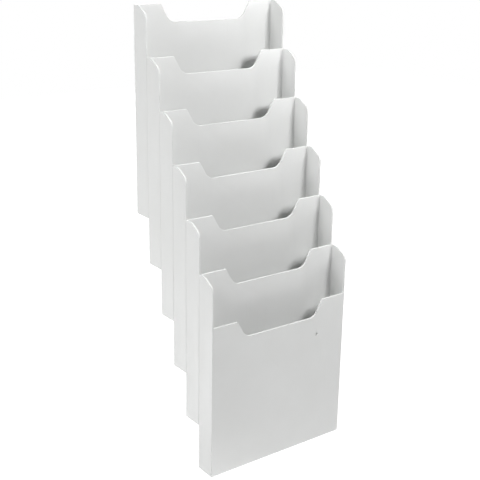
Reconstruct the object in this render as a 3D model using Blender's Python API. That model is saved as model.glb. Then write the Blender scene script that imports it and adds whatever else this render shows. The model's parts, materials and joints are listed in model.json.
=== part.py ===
"""A wall cascade of six upright pockets for A4 papers.

Five open-fronted trays and one closed front pocket step down and forwards. Each
tray hangs on four moulded hooks of the tray behind it and closes that tray's
front with its own back panel. The rear tray hangs on two screws in keyholes,
and a third screw keeps it from lifting off.

Metres, +Z up, +X right, the front faces -Y. The origin lies on the wall plane,
midway between the two keyhole screws.
"""

import math

import bmesh
import bpy
from mathutils import Matrix, Vector

# Driving dimensions of a tray
POCKET_COUNT = 6
WIDTH = 0.240
PANEL_HEIGHT = 0.300
STEP_DOWN = 0.069
TRAY_DEPTH = 0.0323
PANEL_WALL = 0.0030
SIDE_WALL = 0.0025
FLOOR_WALL = 0.0025
EDGE_ROUND = 0.0005
BOTTOM_ROUND = 0.0030

# Gaps between pieces that touch on the real object
FIT_GAP = 0.0003
RUN_GAP = 0.0005

# Finger cut-out in the top edge of each panel
SHOULDER = 0.0425
CUT_DEPTH = 0.0255
CUT_SLOPE = math.radians(60)
CUT_ROUND = 0.016

# Upper front corner of each side wall: a flat, an arc, a slope and an arc
CORNER_FLAT = 0.009
CORNER_SLOPE = math.radians(31)
CORNER_UPPER_ROUND = 0.014
CORNER_LOWER_ROUND = 0.012

# Hooks on the side walls, and the slots that take them in the next back panel
HOOK_DROPS = (0.110, 0.205)
HOOK_WIDTH = 0.007
HOOK_SIDE_GAP = 0.0045
HOOK_ROOT = 0.004
HOOK_RISE = 0.010
TONGUE_THICK = 0.0026
TAB_THICK = 0.003
TAB_MARGIN = 0.001
LIFT = 0.010

# Wall screws, their holes and their plugs
KEYHOLE_DROP = 0.112
KEYHOLE_HALF_SPAN = 0.070
KEYHOLE_TRAVEL = 0.009
LOWER_HOLE_RISE = 0.040
SHANK_RADIUS = 0.0022
HEAD_RADIUS = 0.0042
HEAD_HEIGHT = 0.0026
HEAD_RIM = 0.0010
HEAD_FLAT_RADIUS = 0.0022
SCREW_REACH = 0.034
TIP_LENGTH = 0.006
RECESS_WIDTH = 0.0011
RECESS_LENGTH = 0.0046
RECESS_DEPTH = 0.0014
PLUG_RADIUS = 0.0040
PLUG_LENGTH = 0.036
PLUG_COLLAR_RADIUS = 0.0052
PLUG_COLLAR = 0.0010
PLUG_SLIT = 0.0008
PLUG_SLIT_LENGTH = 0.022
PLUG_SINK = 0.0030

# Small moulded recess on the front panel
MARK_SIDE = 0.067
MARK_DROP = 0.0524
MARK_RADIUS = 0.0022
MARK_DEPTH = 0.0008

# How far a cutter runs past the face that it opens
PAST = 0.010

# Steps in an arc and in a full turn, and the angle past which an edge is sharp
ARC_STEPS = 8
ROUND_STEPS = 24
SHARP_ANGLE = math.radians(38)

PITCH = TRAY_DEPTH + FIT_GAP
HALF = WIDTH / 2
INNER_HALF = HALF - SIDE_WALL
HOOK_OUTER = INNER_HALF - HOOK_SIDE_GAP
LOWER_HOLE_DROP = PANEL_HEIGHT - LOWER_HOLE_RISE


def clear_scene():
    """Remove every object of the startup scene."""
    for thing in list(bpy.data.objects):
        bpy.data.objects.remove(thing, do_unlink=True)


def finish_material(name, colour, roughness, metallic=0.0):
    """A Principled material of one plain finish."""
    material = bpy.data.materials.new(name)
    material.use_nodes = True
    shader = material.node_tree.nodes["Principled BSDF"]
    shader.inputs["Base Color"].default_value = (*colour, 1.0)
    shader.inputs["Roughness"].default_value = roughness
    shader.inputs["Metallic"].default_value = metallic
    return material


def link(name, mesh):
    """A new object that holds the mesh."""
    thing = bpy.data.objects.new(name, mesh)
    bpy.context.scene.collection.objects.link(thing)
    return thing


def prism(name, outline, depth):
    """A closed solid from a flat outline of 3-D points, swept along a vector."""
    shape = bmesh.new()
    face = shape.faces.new([shape.verts.new(point) for point in outline])
    swept = bmesh.ops.extrude_face_region(shape, geom=[face])
    moved = [item for item in swept["geom"] if isinstance(item, bmesh.types.BMVert)]
    bmesh.ops.translate(shape, verts=moved, vec=depth)
    bmesh.ops.recalc_face_normals(shape, faces=shape.faces)
    mesh = bpy.data.meshes.new(name)
    shape.to_mesh(mesh)
    shape.free()
    return link(name, mesh)


def box(name, low, high):
    """A box between two corners."""
    low, high = Vector(low), Vector(high)
    outline = [
        (low.x, low.y, low.z),
        (high.x, low.y, low.z),
        (high.x, high.y, low.z),
        (low.x, high.y, low.z),
    ]
    return prism(name, outline, (0, 0, high.z - low.z))


def turned(name, profile):
    """A solid of revolution about the Y axis, from (radius, y) points end to end."""
    shape = bmesh.new()
    points = [shape.verts.new((radius, y, 0)) for radius, y in profile]
    edges = [shape.edges.new(pair) for pair in zip(points, points[1:] + points[:1])]
    bmesh.ops.spin(
        shape,
        geom=points + edges,
        cent=(0, 0, 0),
        axis=(0, 1, 0),
        angle=math.tau,
        steps=ROUND_STEPS,
        use_merge=True,
    )
    bmesh.ops.remove_doubles(shape, verts=shape.verts, dist=1e-6)
    bmesh.ops.dissolve_degenerate(shape, edges=shape.edges, dist=1e-6)
    bmesh.ops.recalc_face_normals(shape, faces=shape.faces)
    mesh = bpy.data.meshes.new(name)
    shape.to_mesh(mesh)
    shape.free()
    return link(name, mesh)


def arc(centre, radius, start, end, steps=ARC_STEPS):
    """Points of an arc in a plane, from one angle to another."""
    turn = (end - start) / steps
    return [
        (
            centre[0] + radius * math.cos(start + turn * i),
            centre[1] + radius * math.sin(start + turn * i),
        )
        for i in range(steps + 1)
    ]


def combined(thing, others, operation):
    """Join or cut with each of the others, and bake the result into the mesh."""
    for other in others:
        modifier = thing.modifiers.new(operation.lower(), "BOOLEAN")
        modifier.operation = operation
        modifier.solver = "EXACT"
        modifier.object = other
    return baked(thing, others)


def baked(thing, helpers=()):
    """Replace the mesh by its evaluated one, and remove the helpers."""
    graph = bpy.context.evaluated_depsgraph_get()
    mesh = bpy.data.meshes.new_from_object(thing.evaluated_get(graph))
    thing.modifiers.clear()
    thing.data = mesh
    for helper in helpers:
        bpy.data.objects.remove(helper, do_unlink=True)
    return thing


def rounded(thing, width, segments=2):
    """Round the sharp edges of the mesh."""
    bevel = thing.modifiers.new("edges", "BEVEL")
    bevel.width = width
    bevel.segments = segments
    bevel.limit_method = "ANGLE"
    bevel.angle_limit = SHARP_ANGLE
    return baked(thing)


def side_outline():
    """(depth, height) points round a side wall, from its top rear corner."""
    slope = CORNER_SLOPE
    upper = arc(
        (CORNER_FLAT, -CORNER_UPPER_ROUND),
        CORNER_UPPER_ROUND,
        math.pi / 2,
        math.pi / 2 - slope,
    )
    lower_centre_depth = TRAY_DEPTH - CORNER_LOWER_ROUND
    start_depth = lower_centre_depth + CORNER_LOWER_ROUND * math.sin(slope)
    start_height = upper[-1][1] - (start_depth - upper[-1][0]) * math.tan(slope)
    lower = arc(
        (lower_centre_depth, start_height - CORNER_LOWER_ROUND * math.cos(slope)),
        CORNER_LOWER_ROUND,
        math.pi / 2 - slope,
        0,
    )
    return [(0, 0)] + upper + lower + [(TRAY_DEPTH, -PANEL_HEIGHT), (0, -PANEL_HEIGHT)]


def outer_body():
    """The full block of a tray, with its two long bottom edges rounded."""
    outline = [(-HALF, -depth, height) for depth, height in side_outline()]
    body = prism("body", outline, (WIDTH, 0, 0))
    shape = bmesh.new()
    shape.from_mesh(body.data)
    long_edges = [
        edge
        for edge in shape.edges
        if all(abs(v.co.z + PANEL_HEIGHT) < FIT_GAP for v in edge.verts)
        and abs(edge.verts[0].co.x - edge.verts[1].co.x) < FIT_GAP
    ]
    bmesh.ops.bevel(
        shape,
        geom=long_edges,
        offset=BOTTOM_ROUND,
        segments=ARC_STEPS // 2,
        profile=0.5,
        affect="EDGES",
    )
    shape.to_mesh(body.data)
    shape.free()
    return body


def finger_cut(top, rear, front):
    """The cutter of a finger cut-out in a panel whose top edge is at this height."""
    half = HALF - SHOULDER
    run = CUT_DEPTH / math.tan(CUT_SLOPE)
    tangent = CUT_ROUND * math.tan(CUT_SLOPE / 2)
    past_run = PAST / math.tan(CUT_SLOPE)
    centre = (half - run - tangent, top - CUT_DEPTH + CUT_ROUND)
    right = arc(centre, CUT_ROUND, -math.pi / 2, -math.pi / 2 + CUT_SLOPE)
    right = right + [(half + past_run, top + PAST)]
    left = [(-x, z) for x, z in reversed(right)]
    outline = [(x, rear, z) for x, z in left + right]
    return prism("finger_cut", outline, (0, front - rear, 0))


def hooks():
    """The four hooks on the inner faces of the side walls, at the front edge."""
    made = []
    front = -TRAY_DEPTH
    tongue_rear = front - FIT_GAP - PANEL_WALL - FIT_GAP
    inner = HOOK_OUTER - HOOK_WIDTH
    top_of_tongue = HOOK_ROOT + HOOK_RISE
    for side in (-1, 1):
        for drop in HOOK_DROPS:
            seat = -STEP_DOWN - drop
            spans = (
                (
                    (inner - TAB_MARGIN, front, seat - TAB_MARGIN),
                    (INNER_HALF + SIDE_WALL / 2, front + TAB_THICK, seat + top_of_tongue),
                ),
                (
                    (inner, tongue_rear - TONGUE_THICK, seat),
                    (HOOK_OUTER, front + TAB_THICK / 2, seat + HOOK_ROOT),
                ),
                (
                    (inner, tongue_rear - TONGUE_THICK, seat),
                    (HOOK_OUTER, tongue_rear, seat + top_of_tongue),
                ),
            )
            for low, high in spans:
                xs = sorted((side * low[0], side * high[0]))
                made.append(
                    box("hook", (xs[0], low[1], low[2]), (xs[1], high[1], high[2]))
                )
    return made


def hook_slots():
    """The cutters of the four slots that the hooks of the tray behind go through."""
    made = []
    for side in (-1, 1):
        for drop in HOOK_DROPS:
            ends = sorted(
                (
                    side * (HOOK_OUTER + RUN_GAP),
                    side * (HOOK_OUTER - HOOK_WIDTH - RUN_GAP),
                )
            )
            low = (ends[0], -PANEL_WALL - PAST / 2, -drop - LIFT - RUN_GAP)
            high = (ends[1], PAST / 2, -drop + HOOK_ROOT + FIT_GAP)
            made.append(box("hook_slot", low, high))
    return made


def screw_holes():
    """The cutters of the two keyholes and of the lower round hole."""
    neck = SHANK_RADIUS + FIT_GAP
    mouth = HEAD_RADIUS + RUN_GAP
    meet = math.asin(neck / mouth)
    made = []
    for side in (-1, 1):
        end = arc((0, 0), neck, 0, math.pi)
        eye = arc(
            (0, -KEYHOLE_TRAVEL),
            mouth,
            math.pi / 2 + meet,
            math.pi / 2 - meet + math.tau,
            steps=3 * ARC_STEPS,
        )
        outline = [
            (side * KEYHOLE_HALF_SPAN + x, PAST / 2, z - KEYHOLE_DROP)
            for x, z in end + eye
        ]
        made.append(prism("keyhole", outline, (0, -PANEL_WALL - PAST, 0)))
    ring = arc((0, -LOWER_HOLE_DROP), neck, 0, math.tau, steps=ROUND_STEPS)[:-1]
    outline = [(x, PAST / 2, z) for x, z in ring]
    made.append(prism("round_hole", outline, (0, -PANEL_WALL - PAST, 0)))
    return made


def tray_mesh(closed_front):
    """The mesh of an open tray, or of the front pocket, with its top rear edge at z 0."""
    floor = -PANEL_HEIGHT + FLOOR_WALL
    front = -TRAY_DEPTH
    shell = outer_body()
    cuts = [finger_cut(0, PAST, -PANEL_WALL - PAST / 2)]
    if closed_front:
        inner_front = front + PANEL_WALL
        cuts.append(
            box("inside", (-INNER_HALF, inner_front, floor), (INNER_HALF, -PANEL_WALL, PAST))
        )
        cuts.append(
            box(
                "mouth",
                (-INNER_HALF, front - PAST, -STEP_DOWN),
                (INNER_HALF, -PANEL_WALL - PANEL_WALL, 2 * PAST),
            )
        )
        cuts.append(finger_cut(-STEP_DOWN, inner_front + PAST / 2, front - PAST))
    else:
        cuts.append(
            box("inside", (-INNER_HALF, front - PAST, floor), (INNER_HALF, -PANEL_WALL, PAST))
        )
    shell = combined(shell, cuts, "DIFFERENCE")
    shell = rounded(shell, EDGE_ROUND)
    if not closed_front:
        shell = combined(shell, hooks(), "UNION")
    cuts = hook_slots() + screw_holes()
    if closed_front:
        centre = (MARK_SIDE, -STEP_DOWN - MARK_DROP)
        ring = arc(centre, MARK_RADIUS, 0, math.tau, steps=ROUND_STEPS // 2)[:-1]
        outline = [(x, front - PAST, z) for x, z in ring]
        cuts.append(prism("mark", outline, (0, PAST + MARK_DEPTH, 0)))
    shell = combined(shell, cuts, "DIFFERENCE")
    return finished_mesh(shell)


def tray_names():
    """The six pockets, from the wall to the front."""
    between = [f"pocket_{number}" for number in range(2, POCKET_COUNT)]
    return ["rear_pocket"] + between + ["front_pocket"]


def build_trays(material):
    """Place the trays one step down and one pitch forward of each other."""
    open_mesh = tray_mesh(closed_front=False)
    front_mesh = tray_mesh(closed_front=True)
    for mesh in (open_mesh, front_mesh):
        mesh.materials.clear()
        mesh.materials.append(material)
    for index, name in enumerate(tray_names()):
        mesh = front_mesh if name == "front_pocket" else open_mesh
        tray = link(name, mesh)
        tray.location = (0, -index * PITCH, KEYHOLE_DROP - index * STEP_DOWN)


def screw_places():
    """Name, x and z of each wall screw's axis."""
    lower = KEYHOLE_DROP - LOWER_HOLE_DROP
    return (
        ("left", -KEYHOLE_HALF_SPAN, 0),
        ("right", KEYHOLE_HALF_SPAN, 0),
        ("lower", 0, lower),
    )


def wall_screw_mesh():
    """A pan-head screw along Y, its head in front of the panel, with a cross recess."""
    seat = -PANEL_WALL - FIT_GAP
    face = seat - HEAD_HEIGHT
    crown = [
        (
            HEAD_FLAT_RADIUS + (HEAD_RADIUS - HEAD_FLAT_RADIUS) * across,
            seat - HEAD_RIM - (HEAD_HEIGHT - HEAD_RIM) * up,
        )
        for across, up in arc((0, 0), 1, 0, math.pi / 2, steps=ARC_STEPS // 2)
    ]
    shank = [(0, SCREW_REACH), (SHANK_RADIUS, SCREW_REACH - TIP_LENGTH), (SHANK_RADIUS, seat)]
    screw = turned("screw", shank + [(HEAD_RADIUS, seat)] + crown + [(0, face)])
    arm, half = RECESS_LENGTH / 2, RECESS_WIDTH / 2
    low, high = face - PAST, face + RECESS_DEPTH
    cuts = [
        box("recess", (-arm, low, -half), (arm, high, half)),
        box("recess", (-half, low, -arm), (half, high, arm)),
    ]
    return finished_mesh(combined(screw, cuts, "DIFFERENCE"))


def wall_plug_mesh():
    """An expanding sleeve along Y round the screw's shank, sunk in the wall and slit."""
    bore = SHANK_RADIUS + FIT_GAP
    start = PLUG_SINK
    profile = [
        (bore, start),
        (PLUG_COLLAR_RADIUS, start),
        (PLUG_COLLAR_RADIUS, start + PLUG_COLLAR),
        (PLUG_RADIUS, start + PLUG_COLLAR),
        (PLUG_RADIUS, start + PLUG_LENGTH),
        (bore, start + PLUG_LENGTH),
    ]
    plug = turned("plug", profile)
    end = start + PLUG_LENGTH
    cut = box(
        "slit",
        (-PLUG_SLIT / 2, end - PLUG_SLIT_LENGTH, -PLUG_RADIUS - PAST),
        (PLUG_SLIT / 2, end + PAST, PLUG_RADIUS + PAST),
    )
    return finished_mesh(combined(plug, [cut], "DIFFERENCE"))


def finished_mesh(thing):
    """The smooth-shaded mesh of an object, which is removed."""
    mesh = thing.data
    bpy.data.objects.remove(thing, do_unlink=True)
    mesh.shade_smooth()
    mesh.set_sharp_from_angle(angle=SHARP_ANGLE)
    return mesh


def build_fixings(steel, nylon):
    """A screw and a plug at each of the three holes."""
    screw_mesh = wall_screw_mesh()
    plug_mesh = wall_plug_mesh()
    for kind, mesh, material in (
        ("wall_screw", screw_mesh, steel),
        ("wall_plug", plug_mesh, nylon),
    ):
        mesh.materials.clear()
        mesh.materials.append(material)
        for place, x, z in screw_places():
            piece = link(f"{kind}_{place}", mesh)
            piece.matrix_world = Matrix.Translation((x, 0, z))


clear_scene()
build_trays(finish_material("white_plastic", (0.80, 0.81, 0.80), 0.42))
build_fixings(
    finish_material("zinc_steel", (0.62, 0.63, 0.64), 0.35, 1.0),
    finish_material("grey_nylon", (0.45, 0.46, 0.47), 0.55),
)
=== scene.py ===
"""Looks of a wall cascade of six moulded document pockets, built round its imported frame."""

import json
import math

import bmesh
import bpy
from mathutils import Matrix, Vector


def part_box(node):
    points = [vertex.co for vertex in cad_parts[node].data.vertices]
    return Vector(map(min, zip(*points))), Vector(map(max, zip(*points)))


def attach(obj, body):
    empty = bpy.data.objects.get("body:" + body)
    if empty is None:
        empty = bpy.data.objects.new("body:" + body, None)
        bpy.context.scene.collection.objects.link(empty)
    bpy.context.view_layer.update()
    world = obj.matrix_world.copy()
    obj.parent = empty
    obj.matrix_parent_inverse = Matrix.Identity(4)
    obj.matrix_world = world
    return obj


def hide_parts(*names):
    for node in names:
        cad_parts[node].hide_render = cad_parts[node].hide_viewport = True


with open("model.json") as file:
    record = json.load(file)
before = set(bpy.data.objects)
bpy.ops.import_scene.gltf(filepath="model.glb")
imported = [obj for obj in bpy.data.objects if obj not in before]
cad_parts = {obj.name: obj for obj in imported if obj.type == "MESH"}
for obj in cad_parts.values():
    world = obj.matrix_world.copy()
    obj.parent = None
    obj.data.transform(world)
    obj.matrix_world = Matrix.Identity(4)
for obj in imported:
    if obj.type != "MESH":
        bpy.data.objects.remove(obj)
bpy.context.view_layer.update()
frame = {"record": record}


# Camera, standing in front of the pockets, to their left and above, looking down.
# Its place, turn and lens were solved from measured corners of the photograph.
camera_data = bpy.data.cameras.new("camera")
camera_data.lens = 70.71
camera_data.sensor_width = 36.0
camera_data.dof.use_dof = False
camera = bpy.data.objects.new("camera", camera_data)
bpy.context.scene.collection.objects.link(camera)
camera_place = (-0.7924, -1.1581, 0.2098)
camera_heading = math.radians(-36.649)
camera_fall = math.radians(18.115)
camera_roll = math.radians(0.979)
camera.matrix_world = (
    Matrix.Translation(camera_place)
    @ Matrix.Rotation(camera_heading, 4, "Z")
    @ Matrix.Rotation(math.pi / 2 - camera_fall, 4, "X")
    @ Matrix.Rotation(camera_roll, 4, "Z")
)
bpy.context.scene.camera = camera


# Floor of pale matt paint, far below the pockets, as under a thing that hangs on a wall.
# The camera and reflections see it white, with the object's soft shadow faint on it.
def put(tree, kind, **values):
    """A new node, with the values of its sockets or its own settings."""
    node = tree.nodes.new(kind)
    for name, value in values.items():
        if name in node.inputs:
            node.inputs[name].default_value = value
        else:
            setattr(node, name, value)
    return node


def wire(tree, source, output, target, entry):
    """Link one node's output to another's input."""
    tree.links.new(source.outputs[output], target.inputs[entry])


def seen_directly(tree):
    """A value that is 1 for camera, glossy and transmission rays."""
    path = put(tree, "ShaderNodeLightPath")
    first = put(tree, "ShaderNodeMath", operation="MAXIMUM")
    both = put(tree, "ShaderNodeMath", operation="MAXIMUM")
    wire(tree, path, "Is Camera Ray", first, 0)
    wire(tree, path, "Is Glossy Ray", first, 1)
    wire(tree, first, 0, both, 0)
    wire(tree, path, "Is Transmission Ray", both, 1)
    return both


floor_drop = 0.75
floor_size = 14.0
floor_colour = (0.86, 0.86, 0.86, 1)
shadow_reach = 0.6
white_reach = 2.6
glow_under_object = 0.75
bpy.ops.object.select_all(action="DESELECT")
bpy.ops.mesh.primitive_plane_add(
    size=floor_size, location=(0, 0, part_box("front_pocket")[0].z - floor_drop)
)
floor = bpy.context.object
floor.name = "floor"
floor_paint = bpy.data.materials.new("floor_paint")
floor_paint.use_nodes = True
tree = floor_paint.node_tree
paint = tree.nodes["Principled BSDF"]
paint.inputs["Base Color"].default_value = floor_colour
paint.inputs["Roughness"].default_value = 0.9
glow = put(tree, "ShaderNodeEmission", Color=(1, 1, 1, 1), Strength=1.25)
where_on_floor = put(tree, "ShaderNodeTexCoord")
from_middle = put(tree, "ShaderNodeVectorMath", operation="LENGTH")
wire(tree, where_on_floor, "Object", from_middle, 0)
whitening = put(tree, "ShaderNodeMapRange")
whitening.inputs["From Min"].default_value = shadow_reach
whitening.inputs["From Max"].default_value = white_reach
whitening.inputs["To Min"].default_value = glow_under_object
whitening.inputs["To Max"].default_value = 1.0
wire(tree, from_middle, "Value", whitening, "Value")
glow_share = put(tree, "ShaderNodeMath", operation="MULTIPLY")
blend = put(tree, "ShaderNodeMixShader")
wire(tree, seen_directly(tree), 0, glow_share, 0)
wire(tree, whitening, "Result", glow_share, 1)
wire(tree, glow_share, 0, blend, "Fac")
wire(tree, paint, "BSDF", blend, 1)
wire(tree, glow, "Emission", blend, 2)
wire(tree, blend, "Shader", tree.nodes["Material Output"], "Surface")
floor.data.materials.append(floor_paint)


# Studio air: white where the camera or a reflection looks past the floor. It gives no
# light of its own.
studio = bpy.data.worlds.new("studio")
bpy.context.scene.world = studio
studio.use_nodes = True
tree = studio.node_tree
tree.nodes["Background"].inputs["Color"].default_value = (1, 1, 1, 1)
wire(tree, seen_directly(tree), 0, tree.nodes["Background"], "Strength")


# Soft lamps, all plain white. Four keys stand in front, to the right and above. Two light
# the left walls, one hangs over the top edges, one lies low in front, and two light the
# right walls and the back, which the camera doesn't see.
lamp_target = Vector((0.0, -0.10, -0.15))


def softbox(name, place, size, watts):
    """A square lamp that faces the middle of the pockets."""
    lamp = bpy.data.lights.new(name, "AREA")
    lamp.shape = "SQUARE"
    lamp.size = size
    lamp.energy = watts
    stand = bpy.data.objects.new(name, lamp)
    bpy.context.scene.collection.objects.link(stand)
    facing = (Vector(place) - lamp_target).to_track_quat("Z", "Y").to_matrix().to_4x4()
    stand.matrix_world = Matrix.Translation(place) @ facing


softbox("key", (0.35, -0.9, 0.5), size=0.25, watts=5.1)
softbox("near_key", (0.2, -0.7, 0.3), size=0.25, watts=1.6)
softbox("far_key", (0.2, -1.5, 0.8), size=0.25, watts=3.9)
softbox("right_key", (0.8, -0.9, 0.5), size=0.25, watts=1.8)
softbox("left_side", (-1.4, -0.15, 0.25), size=0.4, watts=14.5)
softbox("left_low", (-0.6, 0.1, -0.6), size=0.4, watts=1.3)
softbox("overhead", (0.0, 0.1, 1.2), size=0.5, watts=9.5)
softbox("low_front", (0.0, -0.6, -1.1), size=0.5, watts=3.8)
softbox("right_side", (1.3, 0.15, -0.1), size=0.5, watts=7.0)
softbox("back", (0.3, 1.3, 0.3), size=0.5, watts=9.0)


# The pockets, one satin white polystyrene moulding each: a back panel, two side walls
# and a floor. Each of the five open trays carries four hooks, on which the next tray
# hangs, and that tray's back panel closes its front. They are modelled once and copied.
rear_low, rear_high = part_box("rear_pocket")
front_low, front_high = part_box("front_pocket")
half_width = rear_high.x
tray_top = rear_high.z
tray_bottom = rear_low.z
tray_depth = front_high.y - front_low.y
step_down = tray_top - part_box("pocket_2")[1].z
panel_wall = 0.0030
side_wall = 0.0025
floor_wall = 0.0025
fit_gap = 0.0003
run_gap = 0.0005
inner_half = half_width - side_wall
past = 0.010


def pick(piece):
    """Select this piece alone, and make it the active one."""
    bpy.ops.object.select_all(action="DESELECT")
    piece.select_set(True)
    bpy.context.view_layer.objects.active = piece


def block(name, low, high):
    """A block between two corners, as a start for a shape."""
    low, high = Vector(low), Vector(high)
    bpy.ops.object.select_all(action="DESELECT")
    bpy.ops.mesh.primitive_cube_add(size=1, location=(low + high) / 2, scale=high - low)
    bpy.ops.object.transform_apply(location=True, rotation=True, scale=True)
    bpy.context.object.name = name
    return bpy.context.object


rod_sides = 48


def rod(name, centre, radius, length, sides=rod_sides):
    """A round bar along Y about a centre, as a start for a shape."""
    bpy.ops.object.select_all(action="DESELECT")
    bpy.ops.mesh.primitive_cylinder_add(
        vertices=sides,
        radius=radius,
        depth=length,
        location=centre,
        rotation=(math.pi / 2, 0, 0),
    )
    bpy.ops.object.transform_apply(location=True, rotation=True, scale=True)
    bpy.context.object.name = name
    return bpy.context.object


def select_edges(piece, test):
    """Enter edit mode with the edges selected whose two ends both pass the test."""
    pick(piece)
    bpy.ops.object.mode_set(mode="EDIT")
    bpy.ops.mesh.select_mode(type="EDGE")
    bpy.ops.mesh.select_all(action="DESELECT")
    shape = bmesh.from_edit_mesh(piece.data)
    for edge in shape.edges:
        edge.select_set(test(edge.verts[0].co) and test(edge.verts[1].co))
    bmesh.update_edit_mesh(piece.data)


round_profile = 0.5


def round_edges(piece, test, radius, turn, steps):
    """Round the edges that pass the test, where the faces turn through that angle."""
    select_edges(piece, test)
    bpy.ops.mesh.bevel(
        offset=radius * math.tan(turn / 2),
        offset_type="OFFSET",
        segments=steps,
        profile=round_profile,
        affect="EDGES",
        clamp_overlap=False,
    )
    bpy.ops.object.mode_set(mode="OBJECT")


same_place = 0.00001


def near(a, b):
    """Whether two places agree to a hundredth of a millimetre."""
    return abs(a - b) < same_place


def shape_with(piece, tool, operation):
    """Cut a shape out of a piece or join it on, and take the shape away."""
    pick(piece)
    change = piece.modifiers.new("change", "BOOLEAN")
    change.operation = operation
    change.solver = "EXACT"
    change.object = tool
    bpy.ops.object.modifier_apply(modifier=change.name)
    bpy.data.objects.remove(tool, do_unlink=True)


smooth_angle = math.radians(38)


def soften(piece, radius, steps, skip=lambda p: False):
    """Round every sharp edge a little, as a mould leaves it, unless its ends are skipped."""
    pick(piece)
    bpy.ops.object.mode_set(mode="EDIT")
    bpy.ops.mesh.select_mode(type="EDGE")
    bpy.ops.mesh.select_all(action="DESELECT")
    bpy.ops.mesh.edges_select_sharp(sharpness=smooth_angle)
    shape = bmesh.from_edit_mesh(piece.data)
    for edge in shape.edges:
        if edge.select and skip(edge.verts[0].co) and skip(edge.verts[1].co):
            edge.select_set(False)
    bmesh.update_edit_mesh(piece.data)
    bpy.ops.mesh.bevel(
        offset=radius,
        offset_type="OFFSET",
        segments=steps,
        profile=round_profile,
        affect="EDGES",
        clamp_overlap=False,
    )
    bpy.ops.object.mode_set(mode="OBJECT")


weld_reach = 0.000001


def tidy_mesh(piece):
    """Merge points that coincide and collapse faces without area."""
    pick(piece)
    bpy.ops.object.mode_set(mode="EDIT")
    bpy.ops.mesh.select_all(action="SELECT")
    bpy.ops.mesh.remove_doubles(threshold=weld_reach)
    bpy.ops.mesh.dissolve_degenerate(threshold=weld_reach)
    bpy.ops.object.mode_set(mode="OBJECT")


corner_flat = 0.009
corner_slope = math.radians(31)
corner_upper_round = 0.014
corner_upper_steps = 10
corner_lower_round = 0.012
corner_lower_steps = 14
bottom_round = 0.003
bottom_steps = 6


def tray_block(name):
    """The full block of a tray, with its sloping front corner and rounded bottom."""
    body = block(
        name,
        (-half_width, -tray_depth, tray_bottom),
        (half_width, 0, tray_top),
    )
    fold = -corner_flat - corner_upper_round * math.tan(corner_slope / 2)
    pick(body)
    bpy.ops.object.mode_set(mode="EDIT")
    bpy.ops.mesh.select_all(action="SELECT")
    bpy.ops.mesh.bisect(
        plane_co=(0, fold, tray_top),
        plane_no=(0, -math.sin(corner_slope), math.cos(corner_slope)),
        use_fill=True,
        clear_outer=True,
    )
    bpy.ops.object.mode_set(mode="OBJECT")
    upper_turn = corner_slope
    lower_turn = math.pi / 2 - corner_slope
    shoulder_height = tray_top - (tray_depth + fold) * math.tan(corner_slope)
    round_edges(
        body,
        lambda p: near(p.y, -tray_depth) and near(p.z, shoulder_height),
        corner_lower_round,
        lower_turn,
        corner_lower_steps,
    )
    round_edges(
        body,
        lambda p: near(p.y, fold) and near(p.z, tray_top),
        corner_upper_round,
        upper_turn,
        corner_upper_steps,
    )
    round_edges(
        body, lambda p: near(p.z, tray_bottom), bottom_round, math.pi / 2, bottom_steps
    )
    return body


cut_shoulder = 0.0425
cut_depth = 0.0255
cut_slope = math.radians(60)
cut_round = 0.016
cut_steps = 14


def finger_cut(top, rear, front):
    """The shape of a finger cut-out in a panel whose top edge is at this height."""
    top_half = half_width - cut_shoulder + past / math.tan(cut_slope)
    base_half = half_width - cut_shoulder - cut_depth / math.tan(cut_slope)
    base = top - cut_depth
    shape = block("finger_cut", (-top_half, front, base), (top_half, rear, top + past))
    select_edges(shape, lambda p: near(p.z, base))
    bpy.ops.transform.resize(
        value=(base_half / top_half, 1, 1), center_override=(0, 0, 0)
    )
    bpy.ops.object.mode_set(mode="OBJECT")
    for side in (-1, 1):
        round_edges(
            shape,
            lambda p: near(p.z, base) and near(p.x, side * base_half),
            cut_round,
            cut_slope,
            cut_steps,
        )
    return shape


inner_round = 0.0012
inner_steps = 4


def cavity(rear, front, bottom, top):
    """The hollow of a tray, with rounded inner corners."""
    shape = block(
        "cavity", (-inner_half, front, bottom), (inner_half, rear, top)
    )
    round_edges(
        shape,
        lambda p: near(p.y, rear) or near(p.z, bottom),
        inner_round,
        math.pi / 2,
        inner_steps,
    )
    return shape


hook_drops = (0.110, 0.205)
hook_width = 0.007
hook_from_wall = 0.0045
hook_outer = inner_half - hook_from_wall
hook_root = 0.004
hook_rise = 0.010
hook_round = 0.0004
soft_steps = 3
root_inset = 0.0003
tongue_thick = 0.0026
tab_thick = 0.003
tab_margin = 0.001
tab_setback = 0.0008
hook_lift = 0.010


def hook(side, drop):
    """An upturned tongue on a tab inside a side wall's front edge."""
    seat = tray_top - step_down - drop
    inner = hook_outer - hook_width
    tip = seat + hook_root + hook_rise
    tongue_front = -tray_depth - fit_gap - panel_wall - fit_gap - tongue_thick

    def part(near_wall, far_wall, low, high):
        xs = sorted((side * near_wall, side * far_wall))
        return block("hook", (xs[0], low[0], low[1]), (xs[1], high[0], high[1]))

    tab = part(
        inner - tab_margin,
        inner_half + side_wall / 2,
        (-tray_depth + tab_setback, seat - tab_margin),
        (-tray_depth + tab_thick, tip),
    )
    root = part(
        inner + root_inset,
        hook_outer - root_inset,
        (tongue_front + tongue_thick / 2, seat + root_inset),
        (-tray_depth + tab_thick / 2, seat + hook_root),
    )
    tongue = part(
        inner,
        hook_outer,
        (tongue_front, seat),
        (tongue_front + tongue_thick, tip),
    )
    for shape in (tab, root, tongue):
        soften(shape, hook_round, soft_steps)
    shape_with(tab, root, "UNION")
    shape_with(tab, tongue, "UNION")
    return tab


slot_round = 0.0006
slot_steps = 3

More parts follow.
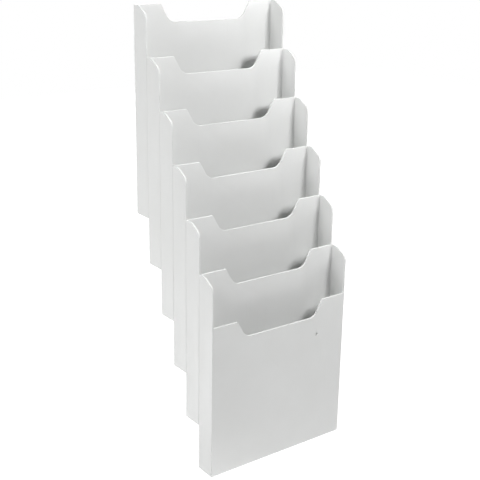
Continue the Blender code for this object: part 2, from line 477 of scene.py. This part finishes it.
def slot_for_hook(side, drop):
    """The shape of a slot that a hook of the tray behind goes through."""
    ends = sorted((side * (hook_outer + run_gap), side * (hook_outer - hook_width - run_gap)))
    height = tray_top - drop
    shape = block(
        "slot",
        (ends[0], -panel_wall - past / 2, height - hook_lift - run_gap),
        (ends[1], past / 2, height + hook_root + fit_gap),
    )
    round_edges(shape, lambda p: True, slot_round, math.pi / 2, slot_steps)
    return shape


screw_height = 0.0
screw_side = 0.070
lower_screw_height = -0.148
shank_radius = 0.0022
head_radius = 0.0042
keyhole_travel = 0.009


def keyhole(side):
    """The shape of one keyhole: a round mouth with a narrow neck above it."""
    across = side * screw_side
    neck = shank_radius + fit_gap
    middle = -panel_wall / 2
    mouth_height = screw_height - keyhole_travel
    shape = rod("keyhole", (across, middle, mouth_height), head_radius + run_gap, past)
    neck_end = rod("neck_end", (across, middle, screw_height), neck, past)
    shape_with(shape, neck_end, "UNION")
    neck_sides = block(
        "neck_sides",
        (across - neck, middle - past / 2, mouth_height),
        (across + neck, middle + past / 2, screw_height),
    )
    shape_with(shape, neck_sides, "UNION")
    tidy_mesh(shape)
    return shape


mark_side = 0.067
mark_drop = 0.0532
mark_radius = 0.0027
mark_depth = 0.0010


def joined(shapes):
    """Several shapes that lie apart, as one object."""
    pick(shapes[0])
    for shape in shapes:
        shape.select_set(True)
    bpy.ops.object.join()
    return shapes[0]


sill_margin = 0.0001


def on_front_sill(point):
    """Whether a point is on the thin front edge of an open tray's floor."""
    inside = abs(point.x) < inner_half + sill_margin
    low = point.z < tray_bottom + bottom_round + inner_round
    return inside and low and point.y < bottom_round - tray_depth


def moulding(name, closed_front):
    """One tray, with its hooks or its closed front, at the rear pocket's place."""
    floor_top = tray_bottom + floor_wall
    body = tray_block(name)
    if closed_front:
        front_face = -tray_depth + panel_wall
        shape_with(
            body, cavity(-panel_wall, front_face, floor_top, tray_top + past), "DIFFERENCE"
        )
        mouth = block(
            "mouth",
            (-inner_half, -tray_depth - past, tray_top - step_down),
            (inner_half, -2 * panel_wall, tray_top + 2 * past),
        )
        shape_with(body, mouth, "DIFFERENCE")
        lip = finger_cut(tray_top - step_down, front_face + past / 2, -tray_depth - past)
        shape_with(body, lip, "DIFFERENCE")
    else:
        hollow = cavity(-panel_wall, -tray_depth - past, floor_top, tray_top + past)
        shape_with(body, hollow, "DIFFERENCE")
    shape_with(body, finger_cut(tray_top, past, -panel_wall - past / 2), "DIFFERENCE")
    soften(body, edge_round, soft_steps, on_front_sill)
    hook_places = [(side, drop) for side in (-1, 1) for drop in hook_drops]
    if not closed_front:
        shape_with(body, joined([hook(*place) for place in hook_places]), "UNION")
    openings = [slot_for_hook(*place) for place in hook_places]
    openings += [keyhole(side) for side in (-1, 1)]
    lower_place = (0, -panel_wall / 2, lower_screw_height)
    openings.append(rod("lower_hole", lower_place, shank_radius + fit_gap, past))
    shape_with(body, joined(openings), "DIFFERENCE")
    tidy_mesh(body)
    return body


edge_round = 0.00045
open_tray = moulding("open_tray", closed_front=False)
front_tray = moulding("front_tray", closed_front=True)
mark = rod(
    "mark",
    (mark_side, -tray_depth, tray_top - step_down - mark_drop),
    mark_radius,
    2 * mark_depth,
)
shape_with(front_tray, mark, "DIFFERENCE")
for body in (open_tray, front_tray):
    pick(body)
    bpy.ops.object.shade_smooth_by_angle(angle=smooth_angle)


# Grain of a spark-eroded mould, and the slow clouding of a thick plastic or a plating.
# The plastic, the steel and the nylon each take it at a scale of their own.
def shader_group(name, entries, results):
    """An empty node group with its named sockets, and its two end nodes."""
    group = bpy.data.node_groups.new(name, "ShaderNodeTree")
    for label, kind in entries:
        group.interface.new_socket(label, in_out="INPUT", socket_type=kind)
    for label, kind in results:
        group.interface.new_socket(label, in_out="OUTPUT", socket_type=kind)
    return group, put(group, "NodeGroupInput"), put(group, "NodeGroupOutput")


def noise(tree, source, output, scale, detail=3.0, roughness=0.5):
    """A noise texture over the given coordinates."""
    texture = put(
        tree, "ShaderNodeTexNoise", Scale=scale, Detail=detail, Roughness=roughness
    )
    wire(tree, source, output, texture, "Vector")
    return texture


def spread(tree, source, output, low, high, to_low=0.0, to_high=1.0):
    """The source's value, spread from one range to another and held there."""
    node = put(tree, "ShaderNodeMapRange")
    node.inputs["From Min"].default_value = low
    node.inputs["From Max"].default_value = high
    node.inputs["To Min"].default_value = to_low
    node.inputs["To Max"].default_value = to_high
    wire(tree, source, output, node, "Value")
    return node


def times(tree, first, first_output, second, second_output):
    """The product of two values."""
    node = put(tree, "ShaderNodeMath", operation="MULTIPLY")
    wire(tree, first, first_output, node, 0)
    wire(tree, second, second_output, node, 1)
    return node


grain, entry, result = shader_group(
    "mould_grain",
    (("Vector", "NodeSocketVector"), ("Grain Scale", "NodeSocketFloat")),
    (("Height", "NodeSocketFloat"), ("Cloud", "NodeSocketFloat")),
)
pits = put(grain, "ShaderNodeTexNoise", Detail=2.0, Roughness=0.65)
wire(grain, entry, "Vector", pits, "Vector")
wire(grain, entry, "Grain Scale", pits, "Scale")
wire(grain, pits, "Fac", result, "Height")
cloud = noise(grain, entry, "Vector", scale=11.0, detail=4.0, roughness=0.55)
clouding = spread(grain, cloud, "Fac", low=0.32, high=0.68)
wire(grain, clouding, "Result", result, "Cloud")


# Wear along edges: where the surface turns within the given radius, in broken patches,
# as edges are rubbed by papers, hands and the next tray. On the plastic the same mask
# also carries a painted highlight that makes its edges paler.
wear_and_highlight_group, entry, result = shader_group(
    "edge_wear_and_highlight",
    (("Vector", "NodeSocketVector"), ("Radius", "NodeSocketFloat")),
    (("Wear And Highlight", "NodeSocketFloat"),),
)
turned_normal = put(wear_and_highlight_group, "ShaderNodeBevel", samples=6)
wire(wear_and_highlight_group, entry, "Radius", turned_normal, "Radius")
surface = put(wear_and_highlight_group, "ShaderNodeNewGeometry")
likeness = put(wear_and_highlight_group, "ShaderNodeVectorMath", operation="DOT_PRODUCT")
wire(wear_and_highlight_group, turned_normal, "Normal", likeness, 0)
wire(wear_and_highlight_group, surface, "Normal", likeness, 1)
edges = spread(wear_and_highlight_group, likeness, "Value", low=0.995, high=0.90)
broken = noise(wear_and_highlight_group, entry, "Vector", scale=120.0, detail=5.0)
patches = spread(wear_and_highlight_group, broken, "Fac", low=0.42, high=0.62)
wire(wear_and_highlight_group, times(wear_and_highlight_group, edges, "Result", patches, "Result"), 0, result, "Wear And Highlight")


# Marks of use: greasy smudges, fine scratches from papers, and dust on what faces up.
# The scratches run along Z, as papers are slid in and out.
use, entry, result = shader_group(
    "marks_of_use",
    (("Vector", "NodeSocketVector"),),
    (
        ("Smudge", "NodeSocketFloat"),
        ("Scratch", "NodeSocketFloat"),
        ("Dust", "NodeSocketFloat"),
    ),
)
greasy = noise(use, entry, "Vector", scale=26.0, detail=6.0, roughness=0.6)
smudge = spread(use, greasy, "Fac", low=0.50, high=0.72)
wire(use, smudge, "Result", result, "Smudge")
scratch_lean = math.radians(7)
scratch_stretch = (900.0, 900.0, 14.0)
drawn = put(use, "ShaderNodeMapping")
drawn.inputs["Rotation"].default_value = (0.0, scratch_lean, 0.0)
drawn.inputs["Scale"].default_value = scratch_stretch
wire(use, entry, "Vector", drawn, "Vector")
lines = noise(use, drawn, "Vector", scale=1.0, detail=1.0)
handled = noise(use, entry, "Vector", scale=17.0)
where = spread(use, handled, "Fac", low=0.48, high=0.66)
thin = spread(use, lines, "Fac", low=0.69, high=0.74)
wire(use, times(use, thin, "Result", where, "Result"), 0, result, "Scratch")
facing = put(use, "ShaderNodeNewGeometry")
parts = put(use, "ShaderNodeSeparateXYZ")
wire(use, facing, "Normal", parts, "Vector")
level = spread(use, parts, "Z", low=0.55, high=0.98)
settled = noise(use, entry, "Vector", scale=800.0, detail=2.0)
specks = spread(use, settled, "Fac", low=0.35, high=0.75)
wire(use, times(use, level, "Result", specks, "Result"), 0, result, "Dust")


# Satin white polystyrene: faintly clouded, finely grained, a little polished and dulled
# by hands, with edges painted paler, partly as rubbing and partly as a painted highlight,
# hairline scratches and a trace of dust on top edges.
# Each pocket's copy of its moulding gets it, moves to its place and rides its own body.
def place_group(tree, group, coordinates, **values):
    """A group in a material, over the object coordinates, with its own values."""
    node = put(tree, "ShaderNodeGroup")
    node.node_tree = group
    for name, value in values.items():
        node.inputs[name.replace("_", " ")].default_value = value
    wire(tree, coordinates, "Object", node, "Vector")
    return node


def weighted_sum(tree, start, terms):
    """A value that starts at a number and adds each source times its weight."""
    total = None
    for source, output, weight in terms:
        step = put(tree, "ShaderNodeMath", operation="MULTIPLY_ADD")
        step.inputs[1].default_value = weight
        step.inputs[2].default_value = start
        wire(tree, source, output, step, 0)
        if total is not None:
            wire(tree, total, 0, step, 2)
        total = step
    return total


def tint(tree, base, base_output, colour, source, output, share):
    """The base colour, moved towards another by a share of the source's value."""
    amount = put(tree, "ShaderNodeMath", operation="MULTIPLY")
    amount.inputs[1].default_value = share
    wire(tree, source, output, amount, 0)
    mix = put(tree, "ShaderNodeMix", data_type="RGBA")
    mix.inputs["B"].default_value = (*colour, 1.0)
    wire(tree, amount, 0, mix, "Factor")
    wire(tree, base, base_output, mix, "A")
    return mix


def relief(tree, source, output, depth, under=None):
    """A bump of the given depth in metres, laid over another one if there is one."""
    bump = put(tree, "ShaderNodeBump", Strength=1.0, Distance=depth)
    wire(tree, source, output, bump, "Height")
    if under is not None:
        wire(tree, under, "Normal", bump, "Normal")
    return bump


pale_white = (0.680, 0.686, 0.680)
deep_white = (0.655, 0.661, 0.652)
paper_dust = (0.56, 0.55, 0.53)
scratched_white = (0.57, 0.57, 0.56)
rubbed_and_highlight_white = (0.84, 0.84, 0.84)
grain_depth = 0.00002
scratch_depth = 0.00003
cloud_depth = 0.00015
plastic =bpy.data.materials.new("white_plastic")
plastic.use_nodes = True
tree = plastic.node_tree
shader = tree.nodes["Principled BSDF"]
shader.inputs["IOR"].default_value = 1.57
where_on_piece = put(tree, "ShaderNodeTexCoord")
skin = place_group(tree, grain, where_on_piece, Grain_Scale=2600.0)
lit_and_worn_edges = place_group(tree, wear_and_highlight_group, where_on_piece, Radius=0.0012)
used = place_group(tree, use, where_on_piece)
body_colour = put(tree, "ShaderNodeMix", data_type="RGBA")
body_colour.inputs["A"].default_value = (*deep_white, 1.0)
body_colour.inputs["B"].default_value = (*pale_white, 1.0)
wire(tree, skin, "Cloud", body_colour, "Factor")
colour = tint(tree, body_colour, "Result", paper_dust, used, "Dust", share=0.10)
colour = tint(tree, colour, "Result", scratched_white, used, "Scratch", share=0.35)
# Edges painted paler: partly rubbed wear, partly a painted highlight along the plastic's
# edges.
colour = tint(tree, colour, "Result", rubbed_and_highlight_white, lit_and_worn_edges, "Wear And Highlight", share=0.30)
wire(tree, colour, "Result", shader, "Base Color")
dullness = weighted_sum(
    tree,
    start=0.40,
    terms=(
        (skin, "Cloud", 0.05),
        (skin, "Height", 0.05),
        (used, "Smudge", -0.06),
        (used, "Dust", 0.20),
        (lit_and_worn_edges, "Wear And Highlight", 0.12),
    ),
)
wire(tree, dullness, 0, shader, "Roughness")
fine = relief(tree, skin, "Height", grain_depth)
cut = put(tree, "ShaderNodeMath", operation="MULTIPLY")
cut.inputs[1].default_value = -1.0
wire(tree, used, "Scratch", cut, 0)
fine = relief(tree, cut, 0, scratch_depth, under=fine)
fine = relief(tree, skin, "Cloud", cloud_depth, under=fine)
wire(tree, fine, "Normal", shader, "Normal")

for body_name, members in frame["record"]["behaviour"]["bodies"].items():
    for node in members:
        if "pocket" not in node:
            continue
        model = front_tray if node == "front_pocket" else open_tray
        tray = model.copy()
        tray.data = model.data.copy()
        tray.name = f"{node}_moulding"
        bpy.context.scene.collection.objects.link(tray)
        tray.data.transform(Matrix.Translation(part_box(node)[1] - rear_high))
        tray.data.materials.append(plastic)
        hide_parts(node)
        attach(tray, body_name)
bpy.data.objects.remove(open_tray, do_unlink=True)
bpy.data.objects.remove(front_tray, do_unlink=True)


# Wall screws: zinc-plated pan-head screws with a cross recess and a coarse rolled
# thread. Two hold the rear pocket by its keyholes and the third locks it in place.
screw_low, screw_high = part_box("wall_screw_lower")
head_face = screw_low.y
head_seat = -panel_wall - fit_gap
screw_tip = screw_high.y
head_rim = 0.0010
head_flat_radius = 0.0022
thread_root = 0.00172
thread_crest = 0.00232
thread_pitch = 0.0019
thread_start = 0.0045
thread_turns = 12
thread_steps = 28
thread_sink = 0.0003
wedge_start, crest_start, crest_end, wedge_end = 0.10, 0.42, 0.50, 0.82
wedge_corners = 4
tip_length = 0.006
tip_radius = 0.0002
turned_sides = 40
crown_steps = 6
screw_round = 0.00015
screw_round_steps = 2


def turned(name, centre, profile, sides):
    """A piece turned about Y, extruded from its front face through (radius, y) stations."""
    first_radius, first_y = profile[0]
    bpy.ops.object.select_all(action="DESELECT")
    bpy.ops.mesh.primitive_circle_add(
        vertices=sides,
        radius=first_radius,
        fill_type="NGON",
        location=(centre[0], first_y, centre[1]),
        rotation=(math.pi / 2, 0, 0),
    )
    bpy.ops.object.transform_apply(location=True, rotation=True, scale=True)
    piece = bpy.context.object
    piece.name = name
    bpy.ops.object.mode_set(mode="EDIT")
    bpy.ops.mesh.select_mode(type="FACE")
    bpy.ops.mesh.select_all(action="SELECT")
    for (radius_a, y_a), (radius_b, y_b) in zip(profile, profile[1:]):
        bpy.ops.mesh.extrude_region_move(
            TRANSFORM_OT_translate={"value": (0, y_b - y_a, 0)}
        )
        ratio = radius_b / radius_a
        bpy.ops.transform.resize(
            value=(ratio, 1, ratio), center_override=(centre[0], y_b, centre[1])
        )
    bpy.ops.mesh.select_all(action="SELECT")
    bpy.ops.mesh.normals_make_consistent(inside=False)
    bpy.ops.object.mode_set(mode="OBJECT")
    return piece


def thread(name, centre, start):
    """A helical ridge about Y: a small wedge wound round by the Screw modifier."""
    bpy.ops.object.select_all(action="DESELECT")
    bpy.ops.mesh.primitive_circle_add(
        vertices=wedge_corners, radius=1.0, fill_type="NOTHING"
    )
    ridge = bpy.context.object
    ridge.name = name
    base = thread_root - thread_sink
    corners = (
        (base, wedge_start),
        (thread_crest, crest_start),
        (thread_crest, crest_end),
        (base, wedge_end),
    )
    for vertex, (radius, share) in zip(ridge.data.vertices, corners):
        vertex.co = (radius, share * thread_pitch, 0)
    winding = ridge.modifiers.new("winding", "SCREW")
    winding.axis = "Y"
    winding.screw_offset = thread_pitch
    winding.iterations = thread_turns
    winding.steps = thread_steps
    winding.render_steps = thread_steps
    bpy.ops.object.modifier_apply(modifier=winding.name)
    bpy.ops.object.mode_set(mode="EDIT")
    bpy.ops.mesh.select_all(action="SELECT")
    bpy.ops.mesh.remove_doubles(threshold=weld_reach)
    bpy.ops.mesh.fill_holes(sides=wedge_corners)
    bpy.ops.mesh.select_all(action="SELECT")
    bpy.ops.mesh.normals_make_consistent(inside=False)
    bpy.ops.object.mode_set(mode="OBJECT")
    ridge.data.transform(Matrix.Translation((centre[0], start, centre[1])))
    return ridge


crown = [
    (
        head_flat_radius + (head_radius - head_flat_radius) * math.sin(turn),
        head_seat - head_rim - (head_seat - head_rim - head_face) * math.cos(turn),
    )
    for turn in (math.pi / 2 * step / crown_steps for step in range(crown_steps + 1))
]
stations = crown + [
    (head_radius, head_seat),
    (shank_radius, head_seat),
    (shank_radius, thread_start),
    (thread_root, thread_start + thread_pitch / 2),
    (thread_root, screw_tip - tip_length),
    (tip_radius, screw_tip),
]
screw_model = turned("screw_model", (0, 0), stations, turned_sides)
recess_reach = 0.0023
recess_width = 0.0011
recess_depth = 0.0016
recess_taper = 0.55
for reach_x, reach_z in ((recess_reach, recess_width / 2), (recess_width / 2, recess_reach)):
    arm = block(
        "recess_arm",
        (-reach_x, head_face - recess_depth, -reach_z),
        (reach_x, head_face + recess_depth, reach_z),
    )
    select_edges(arm, lambda p: near(p.y, head_face + recess_depth))
    bpy.ops.transform.resize(
        value=(recess_taper, 1, recess_taper), center_override=(0, 0, 0)
    )
    bpy.ops.object.mode_set(mode="OBJECT")
    shape_with(screw_model, arm, "DIFFERENCE")
soften(screw_model, screw_round, screw_round_steps)
shape_with(screw_model, thread("thread", (0, 0), thread_start), "UNION")
pick(screw_model)
bpy.ops.object.shade_smooth_by_angle(angle=smooth_angle)

cool_zinc = (0.58, 0.60, 0.63)
warm_zinc = (0.66, 0.65, 0.61)
rubbed_zinc = (0.74, 0.74, 0.73)
greasy_zinc = (0.42, 0.42, 0.42)
plating_depth = 0.00001
steel = bpy.data.materials.new("zinc_steel")
steel.use_nodes = True
tree = steel.node_tree
shader = tree.nodes["Principled BSDF"]
shader.inputs["Metallic"].default_value = 1.0
where_on_piece = put(tree, "ShaderNodeTexCoord")
skin = place_group(tree, grain, where_on_piece, Grain_Scale=5200.0)
lit_and_worn_edges = place_group(tree, wear_and_highlight_group, where_on_piece, Radius=0.0004)
used = place_group(tree, use, where_on_piece)
spangle = noise(tree, where_on_piece, "Object", scale=900.0, detail=4.0)
spangled = spread(tree, spangle, "Fac", low=0.35, high=0.65)
plating = put(tree, "ShaderNodeMix", data_type="RGBA")
plating.inputs["A"].default_value = (*cool_zinc, 1.0)
plating.inputs["B"].default_value = (*warm_zinc, 1.0)
wire(tree, spangled, "Result", plating, "Factor")
colour = tint(tree, plating, "Result", rubbed_zinc, lit_and_worn_edges, "Wear And Highlight", share=0.6)
colour = tint(tree, colour, "Result", greasy_zinc, used, "Smudge", share=0.25)
wire(tree, colour, "Result", shader, "Base Color")
dullness = weighted_sum(
    tree,
    start=0.30,
    terms=((skin, "Height", 0.10), (used, "Smudge", 0.10), (lit_and_worn_edges, "Wear And Highlight", -0.10)),
)
wire(tree, dullness, 0, shader, "Roughness")
wire(tree, relief(tree, skin, "Height", plating_depth), "Normal", shader, "Normal")

for place in ("left", "right", "lower"):
    node = f"wall_screw_{place}"
    low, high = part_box(node)
    screw = screw_model.copy()
    screw.data = screw_model.data.copy()
    screw.name = f"{node}_piece"
    bpy.context.scene.collection.objects.link(screw)
    axis_place = ((low.x + high.x) / 2, 0, (low.z + high.z) / 2)
    screw.data.transform(Matrix.Translation(axis_place))
    screw.data.materials.append(steel)
    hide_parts(node)
    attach(screw, "wall_tray")
bpy.data.objects.remove(screw_model, do_unlink=True)


# Wall plugs: grey nylon sleeves with barbed rings, two fins that keep them from turning
# and a slit that lets the screw spread them. They sit just below the wall's surface.
plug_low, plug_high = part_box("wall_plug_lower")
plug_start = plug_low.y
plug_end = plug_high.y
collar_radius = plug_high.x
collar = 0.0010
collar_chamfer = 0.0003
collar_slope = 0.0004
sleeve_radius = 0.0040
plain_length = 0.0105
barb_depth = 0.00045
barb_step = 0.0001
barb_pitch = 0.0026
barb_rise_share = 0.85
barb_count = 9
barbs_start = plug_start + plain_length
bore_radius = shank_radius + fit_gap
end_wall = 0.0003
stations = [
    (collar_radius - collar_chamfer, plug_start),
    (collar_radius, plug_start + collar_chamfer),
    (collar_radius, plug_start + collar),
    (sleeve_radius, plug_start + collar + collar_slope),
    (sleeve_radius, barbs_start),
]
for ring in range(barb_count):
    foot = barbs_start + ring * barb_pitch
    stations.append((sleeve_radius - barb_depth, foot + barb_step))
    stations.append((sleeve_radius, foot + barb_pitch * barb_rise_share))
    stations.append((sleeve_radius, foot + barb_pitch))
stations.append((bore_radius + end_wall, plug_end))
plug_model = turned("plug_model", (0, 0), stations, turned_sides)
fin_height = 0.0007
fin_half = 0.0004
fin_off_bore = 0.0005
fin_off_barbs = 0.0015
for side in (-1, 1):
    xs = sorted(
        (side * (bore_radius + fin_off_bore), side * (sleeve_radius + fin_height))
    )
    fin = block(
        "fin",
        (xs[0], plug_start + collar / 2, -fin_half),
        (xs[1], barbs_start - fin_off_barbs, fin_half),
    )
    shape_with(plug_model, fin, "UNION")
bore_middle = (plug_start + plug_end) / 2
bore_length = plug_end - plug_start + past
bore = rod("bore", (0, bore_middle, 0), bore_radius, bore_length, turned_sides)
shape_with(plug_model, bore, "DIFFERENCE")
slit_half = 0.0004
slit_length = 0.022
slit_start = plug_end - slit_length
slit = block(
    "slit",
    (-slit_half, slit_start, -collar_radius),
    (slit_half, plug_end + past, collar_radius),
)
shape_with(plug_model, slit, "DIFFERENCE")
pick(plug_model)
bpy.ops.object.shade_smooth_by_angle(angle=smooth_angle)

deep_grey = (0.43, 0.44, 0.45)
pale_grey = (0.47, 0.48, 0.49)
rubbed_grey = (0.62, 0.62, 0.61)
wall_dust = (0.58, 0.55, 0.50)
nylon_depth = 0.00002
nylon = bpy.data.materials.new("grey_nylon")
nylon.use_nodes = True
tree = nylon.node_tree
shader = tree.nodes["Principled BSDF"]
shader.inputs["IOR"].default_value = 1.53
where_on_piece = put(tree, "ShaderNodeTexCoord")
skin = place_group(tree, grain, where_on_piece, Grain_Scale=3600.0)
lit_and_worn_edges = place_group(tree, wear_and_highlight_group, where_on_piece, Radius=0.0004)
used = place_group(tree, use, where_on_piece)
body_colour = put(tree, "ShaderNodeMix", data_type="RGBA")
body_colour.inputs["A"].default_value = (*deep_grey, 1.0)
body_colour.inputs["B"].default_value = (*pale_grey, 1.0)
wire(tree, skin, "Cloud", body_colour, "Factor")
colour = tint(tree, body_colour, "Result", rubbed_grey, lit_and_worn_edges, "Wear And Highlight", share=0.5)
colour = tint(tree, colour, "Result", wall_dust, used, "Dust", share=0.4)
wire(tree, colour, "Result", shader, "Base Color")
dullness = weighted_sum(
    tree,
    start=0.50,
    terms=((skin, "Height", 0.08), (used, "Dust", 0.20), (lit_and_worn_edges, "Wear And Highlight", 0.08)),
)
wire(tree, dullness, 0, shader, "Roughness")
wire(tree, relief(tree, skin, "Height", nylon_depth), "Normal", shader, "Normal")

for place in ("left", "right", "lower"):
    node = f"wall_plug_{place}"
    low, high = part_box(node)
    plug = plug_model.copy()
    plug.data = plug_model.data.copy()
    plug.name = f"{node}_piece"
    bpy.context.scene.collection.objects.link(plug)
    axis_place = ((low.x + high.x) / 2, 0, (low.z + high.z) / 2)
    plug.data.transform(Matrix.Translation(axis_place))
    plug.data.materials.append(nylon)
    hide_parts(node)
    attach(plug, "wall_tray")
bpy.data.objects.remove(plug_model, do_unlink=True)

bpy.context.scene.view_settings.view_transform = "Standard"
